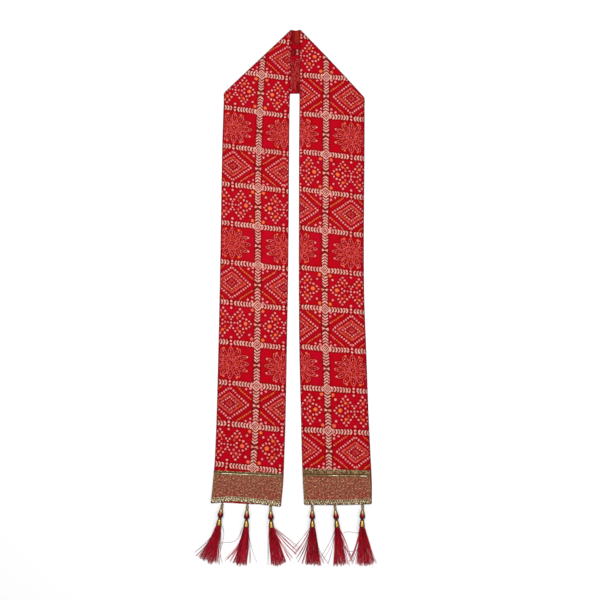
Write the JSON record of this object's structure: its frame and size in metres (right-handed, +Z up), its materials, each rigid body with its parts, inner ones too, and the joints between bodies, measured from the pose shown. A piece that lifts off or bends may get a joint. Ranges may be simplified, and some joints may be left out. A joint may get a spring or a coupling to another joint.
{
  "type": "dupatta stole",
  "caption": "Narrow printed stole laid flat, folded slantwise behind the neck, with gold lace ends and beaded silk tassels.",
  "frame": {"origin": "on the surface the stole lies on, at the middle of its laid-out extent", "axes": "+Y along the legs, from the tassels to the neck fold; +X across the two legs; +Z up from the surface"},
  "size_m": [0.321, 1.0489, 0.0105],
  "materials": {
    "printed_cloth": "crimson art silk with a tied-dot print and pale gold chevron lines, soft sheen",
    "gold_lace": "woven brocade of brown gold and red thread, glinting",
    "gold_braid": "plaited metallic thread in pale gold",
    "gold_cord": "twisted metallic cord in pale gold",
    "gold_metal": "polished gold tone",
    "red_bead": "deep red, glossy",
    "crimson_silk": "loose silk floss with a soft sheen"
  },
  "bodies": {
    "root": {"neck": "printed_cloth", "leg_left": "printed_cloth", "leg_right": "printed_cloth", "border_left": "gold_lace", "border_right": "gold_lace", "upper_braid_left": "gold_braid", "upper_braid_right": "gold_braid", "lower_braid_left": "gold_braid", "lower_braid_right": "gold_braid", "tassel_loop_left_1": "gold_cord", "tassel_loop_left_2": "gold_cord", "tassel_loop_left_3": "gold_cord", "tassel_loop_right_1": "gold_cord", "tassel_loop_right_2": "gold_cord", "tassel_loop_right_3": "gold_cord", "tassel_tip_left_1": "gold_metal", "tassel_tip_left_2": "gold_metal", "tassel_tip_left_3": "gold_metal", "tassel_tip_right_1": "gold_metal", "tassel_tip_right_2": "gold_metal", "tassel_tip_right_3": "gold_metal", "tassel_bead_left_1": "red_bead", "tassel_bead_left_2": "red_bead", "tassel_bead_left_3": "red_bead", "tassel_bead_right_1": "red_bead", "tassel_bead_right_2": "red_bead", "tassel_bead_right_3": "red_bead", "tassel_bell_left_1": "gold_metal", "tassel_bell_left_2": "gold_metal", "tassel_bell_left_3": "gold_metal", "tassel_bell_right_1": "gold_metal", "tassel_bell_right_2": "gold_metal", "tassel_bell_right_3": "gold_metal", "tassel_strands_left_1": "crimson_silk", "tassel_strands_left_2": "crimson_silk", "tassel_strands_left_3": "crimson_silk", "tassel_strands_right_1": "crimson_silk", "tassel_strands_right_2": "crimson_silk", "tassel_strands_right_3": "crimson_silk"}
  },
  "joints": []
}
